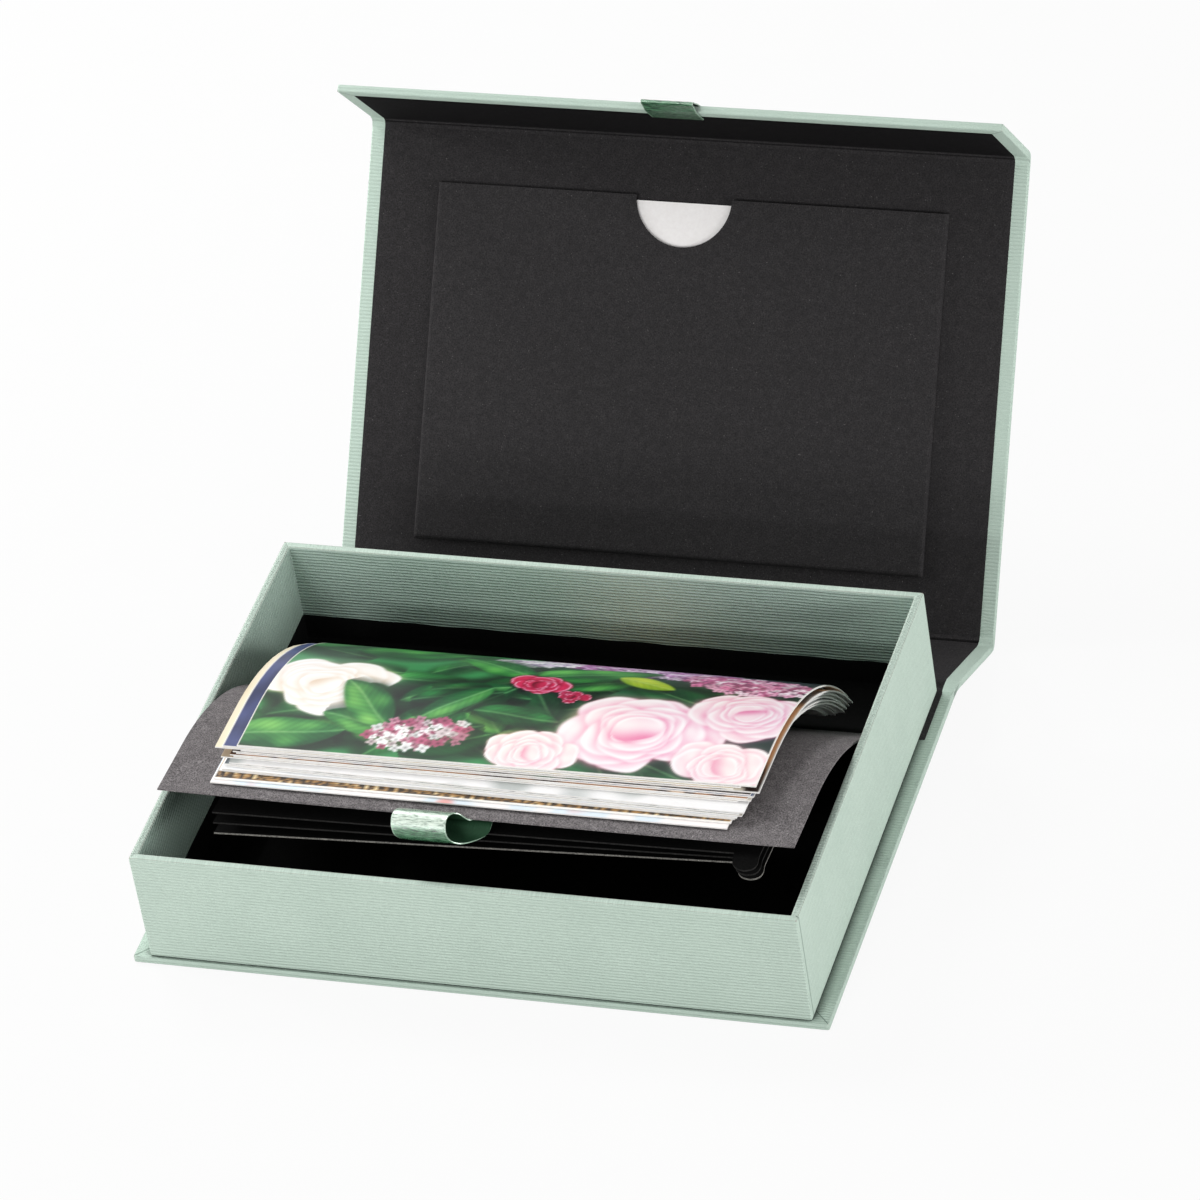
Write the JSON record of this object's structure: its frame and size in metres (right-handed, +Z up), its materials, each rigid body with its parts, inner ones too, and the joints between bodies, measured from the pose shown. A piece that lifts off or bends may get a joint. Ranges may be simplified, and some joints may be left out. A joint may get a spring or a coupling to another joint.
{
  "type": "photo storage box",
  "caption": "Hinged-lid keepsake box for photo prints: covered board tray in a folding case with spine, lid and front flap, lid pocket and ribbon pulls.",
  "frame": {"origin": "middle of the open box in X and Y, at the level it stands on", "axes": "+Z up, +X to the right along the folds, +Y towards the back, from the tray to the lid"},
  "size_m": [0.206, 0.2704, 0.1531],
  "materials": {
    "mint_ribbed_paper": "matte ribbed",
    "black_speckled_paper": "matte speckled",
    "greyboard": "matte",
    "steel": "plain",
    "magnet": "plated",
    "black_pocket_paper": "matte",
    "green_ribbon": "satin",
    "white_card": "matte",
    "black_card": "matte",
    "speckled_black_card": "matte speckled",
    "photo_paper": "gloss"
  },
  "bodies": {
    "tray": {"base_board": "greyboard", "base_cover_paper": "mint_ribbed_paper", "base_lining": "black_speckled_paper", "base_spine_hinge": "mint_ribbed_paper", "tray_floor_board": "greyboard", "tray_front_wall": "greyboard", "tray_back_wall": "greyboard", "tray_left_wall": "greyboard", "tray_right_wall": "greyboard", "tray_wrap_paper": "mint_ribbed_paper", "tray_liner": "black_speckled_paper", "tray_front_plates": "steel"},
    "spine": {"spine_board": "greyboard", "spine_cover_paper": "mint_ribbed_paper", "spine_lining": "black_speckled_paper", "spine_lid_hinge": "mint_ribbed_paper"},
    "lid": {"lid_board": "greyboard", "lid_cover_paper": "mint_ribbed_paper", "lid_lining": "black_speckled_paper", "lid_flap_hinge": "mint_ribbed_paper", "pocket_panel": "black_pocket_paper", "pocket_seams": "black_pocket_paper"},
    "flap": {"flap_board": "greyboard", "flap_cover_paper": "mint_ribbed_paper", "flap_lining": "black_speckled_paper", "flap_magnets": "magnet", "flap_ribbon": "green_ribbon"},
    "pocket_card": {"index_card": "white_card"},
    "contents": {"divider_cards": "black_card"},
    "raised_dividers": {"raised_divider_cards": "black_card"},
    "card": {"lift_out_card": "speckled_black_card", "card_ribbon": "green_ribbon"},
    "prints": {"photo_prints": "photo_paper"}
  },
  "joints": [
    {"name": "spine_fold", "type": "hinge", "parent": "tray", "child": "spine", "pos_m": [0, 0.01264, 0.01286], "axis": [-1, 0, 0], "range_deg": [-113.6, 0], "deforming": ["base_spine_hinge"]},
    {"name": "lid_fold", "type": "hinge", "parent": "spine", "child": "lid", "pos_m": [0, 0.05284, -0.00062], "axis": [-1, 0, 0], "range_deg": [-15.7, 55], "deforming": ["spine_lid_hinge"]},
    {"name": "flap_fold", "type": "hinge", "parent": "lid", "child": "flap", "pos_m": [0, 0.13606, 0.12164], "axis": [-1, 0, 0], "range_deg": [-9.9, 80], "deforming": ["lid_flap_hinge"]},
    {"name": "pocket_card_slide", "type": "slide", "parent": "lid", "child": "pocket_card", "axis": [0, 0.5627, 0.8267], "range_m": [0, 0.017]},
    {"name": "contents_lift", "type": "slide", "parent": "tray", "child": "contents", "axis": [0, -0.0881, 0.9961], "range_m": [0, 0.06]},
    {"name": "card_lift", "type": "hinge", "parent": "contents", "child": "card", "pos_m": [0, -0.01468, 0.01637], "axis": [-1, 0, 0], "range_deg": [-17, 25], "deforming": ["lift_out_card", "card_ribbon"]},
    {"name": "divider_lift", "type": "hinge", "parent": "contents", "child": "raised_dividers", "pos_m": [0, -0.02579, 0.01719], "axis": [-1, 0, 0], "range_deg": [-17, 25], "deforming": ["raised_divider_cards"]},
    {"name": "prints_lift", "type": "slide", "parent": "card", "child": "prints", "axis": [0, -0.0184, 0.9998], "range_m": [0, 0.06]}
  ],
  "couplings": [
    {"joint": "divider_lift", "follows": "card_lift", "ratio": 1}
  ]
}
